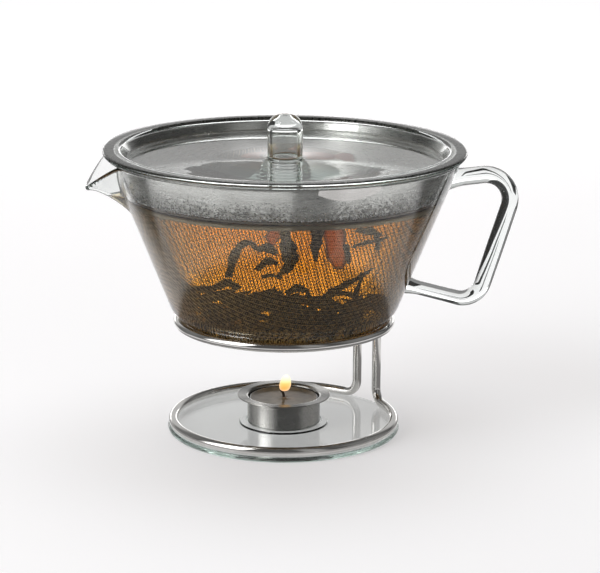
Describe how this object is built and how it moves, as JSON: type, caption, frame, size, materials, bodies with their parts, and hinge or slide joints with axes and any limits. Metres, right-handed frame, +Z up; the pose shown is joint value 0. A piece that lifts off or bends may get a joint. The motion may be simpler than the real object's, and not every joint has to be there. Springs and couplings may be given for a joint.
{
  "type": "glass teapot",
  "caption": "Conical glass teapot with pouring lip and rod handle, a lift-out steel mesh strainer, a sunk glass lid, and a bent-wire tealight warmer on a glass base plate.",
  "frame": {"origin": "centre of the base plate's underside, on the pot's axis", "axes": "+Z up along the pot's axis, +X towards the handle, -X towards the pouring lip"},
  "size_m": [0.2412, 0.2, 0.1786],
  "materials": {
    "glass_clear": "clear borosilicate, fire polished, green tint at the edges",
    "steel_polished": "polished stainless",
    "steel_brushed": "turned satin stainless",
    "woven_mesh": "woven stainless wire cloth",
    "cup_aluminium": "thin bright foil",
    "candle_wax": "soft translucent wax",
    "cotton_wick": "charred braid"
  },
  "bodies": {
    "stand": {"base_plate": "glass_clear", "stand_wire": "steel_polished"},
    "holder": {"tealight_holder": "steel_brushed"},
    "tealight": {"tealight_cup": "cup_aluminium", "tealight_wax": "candle_wax", "tealight_wick": "cotton_wick", "wick_sustainer": "cup_aluminium"},
    "jug": {"jug_body": "glass_clear", "jug_handle": "glass_clear"},
    "strainer": {"strainer_collar": "steel_polished", "strainer_band": "steel_polished", "strainer_mesh": "woven_mesh"},
    "lid": {"lid_disc": "glass_clear", "lid_knob": "glass_clear"}
  },
  "joints": [
    {"name": "jug_lift", "type": "slide", "parent": "stand", "child": "jug", "axis": [0, 0, 1], "range_m": [0, 0.12]},
    {"name": "strainer_lift", "type": "slide", "parent": "jug", "child": "strainer", "axis": [0, 0, 1], "range_m": [0, 0.1]},
    {"name": "lid_lift", "type": "slide", "parent": "strainer", "child": "lid", "axis": [0, 0, 1], "range_m": [0, 0.06]},
    {"name": "holder_lift", "type": "slide", "parent": "stand", "child": "holder", "axis": [0, 0, 1], "range_m": [0, 0.028]},
    {"name": "tealight_lift", "type": "slide", "parent": "holder", "child": "tealight", "axis": [0, 0, 1], "range_m": [0, 0.022]}
  ]
}
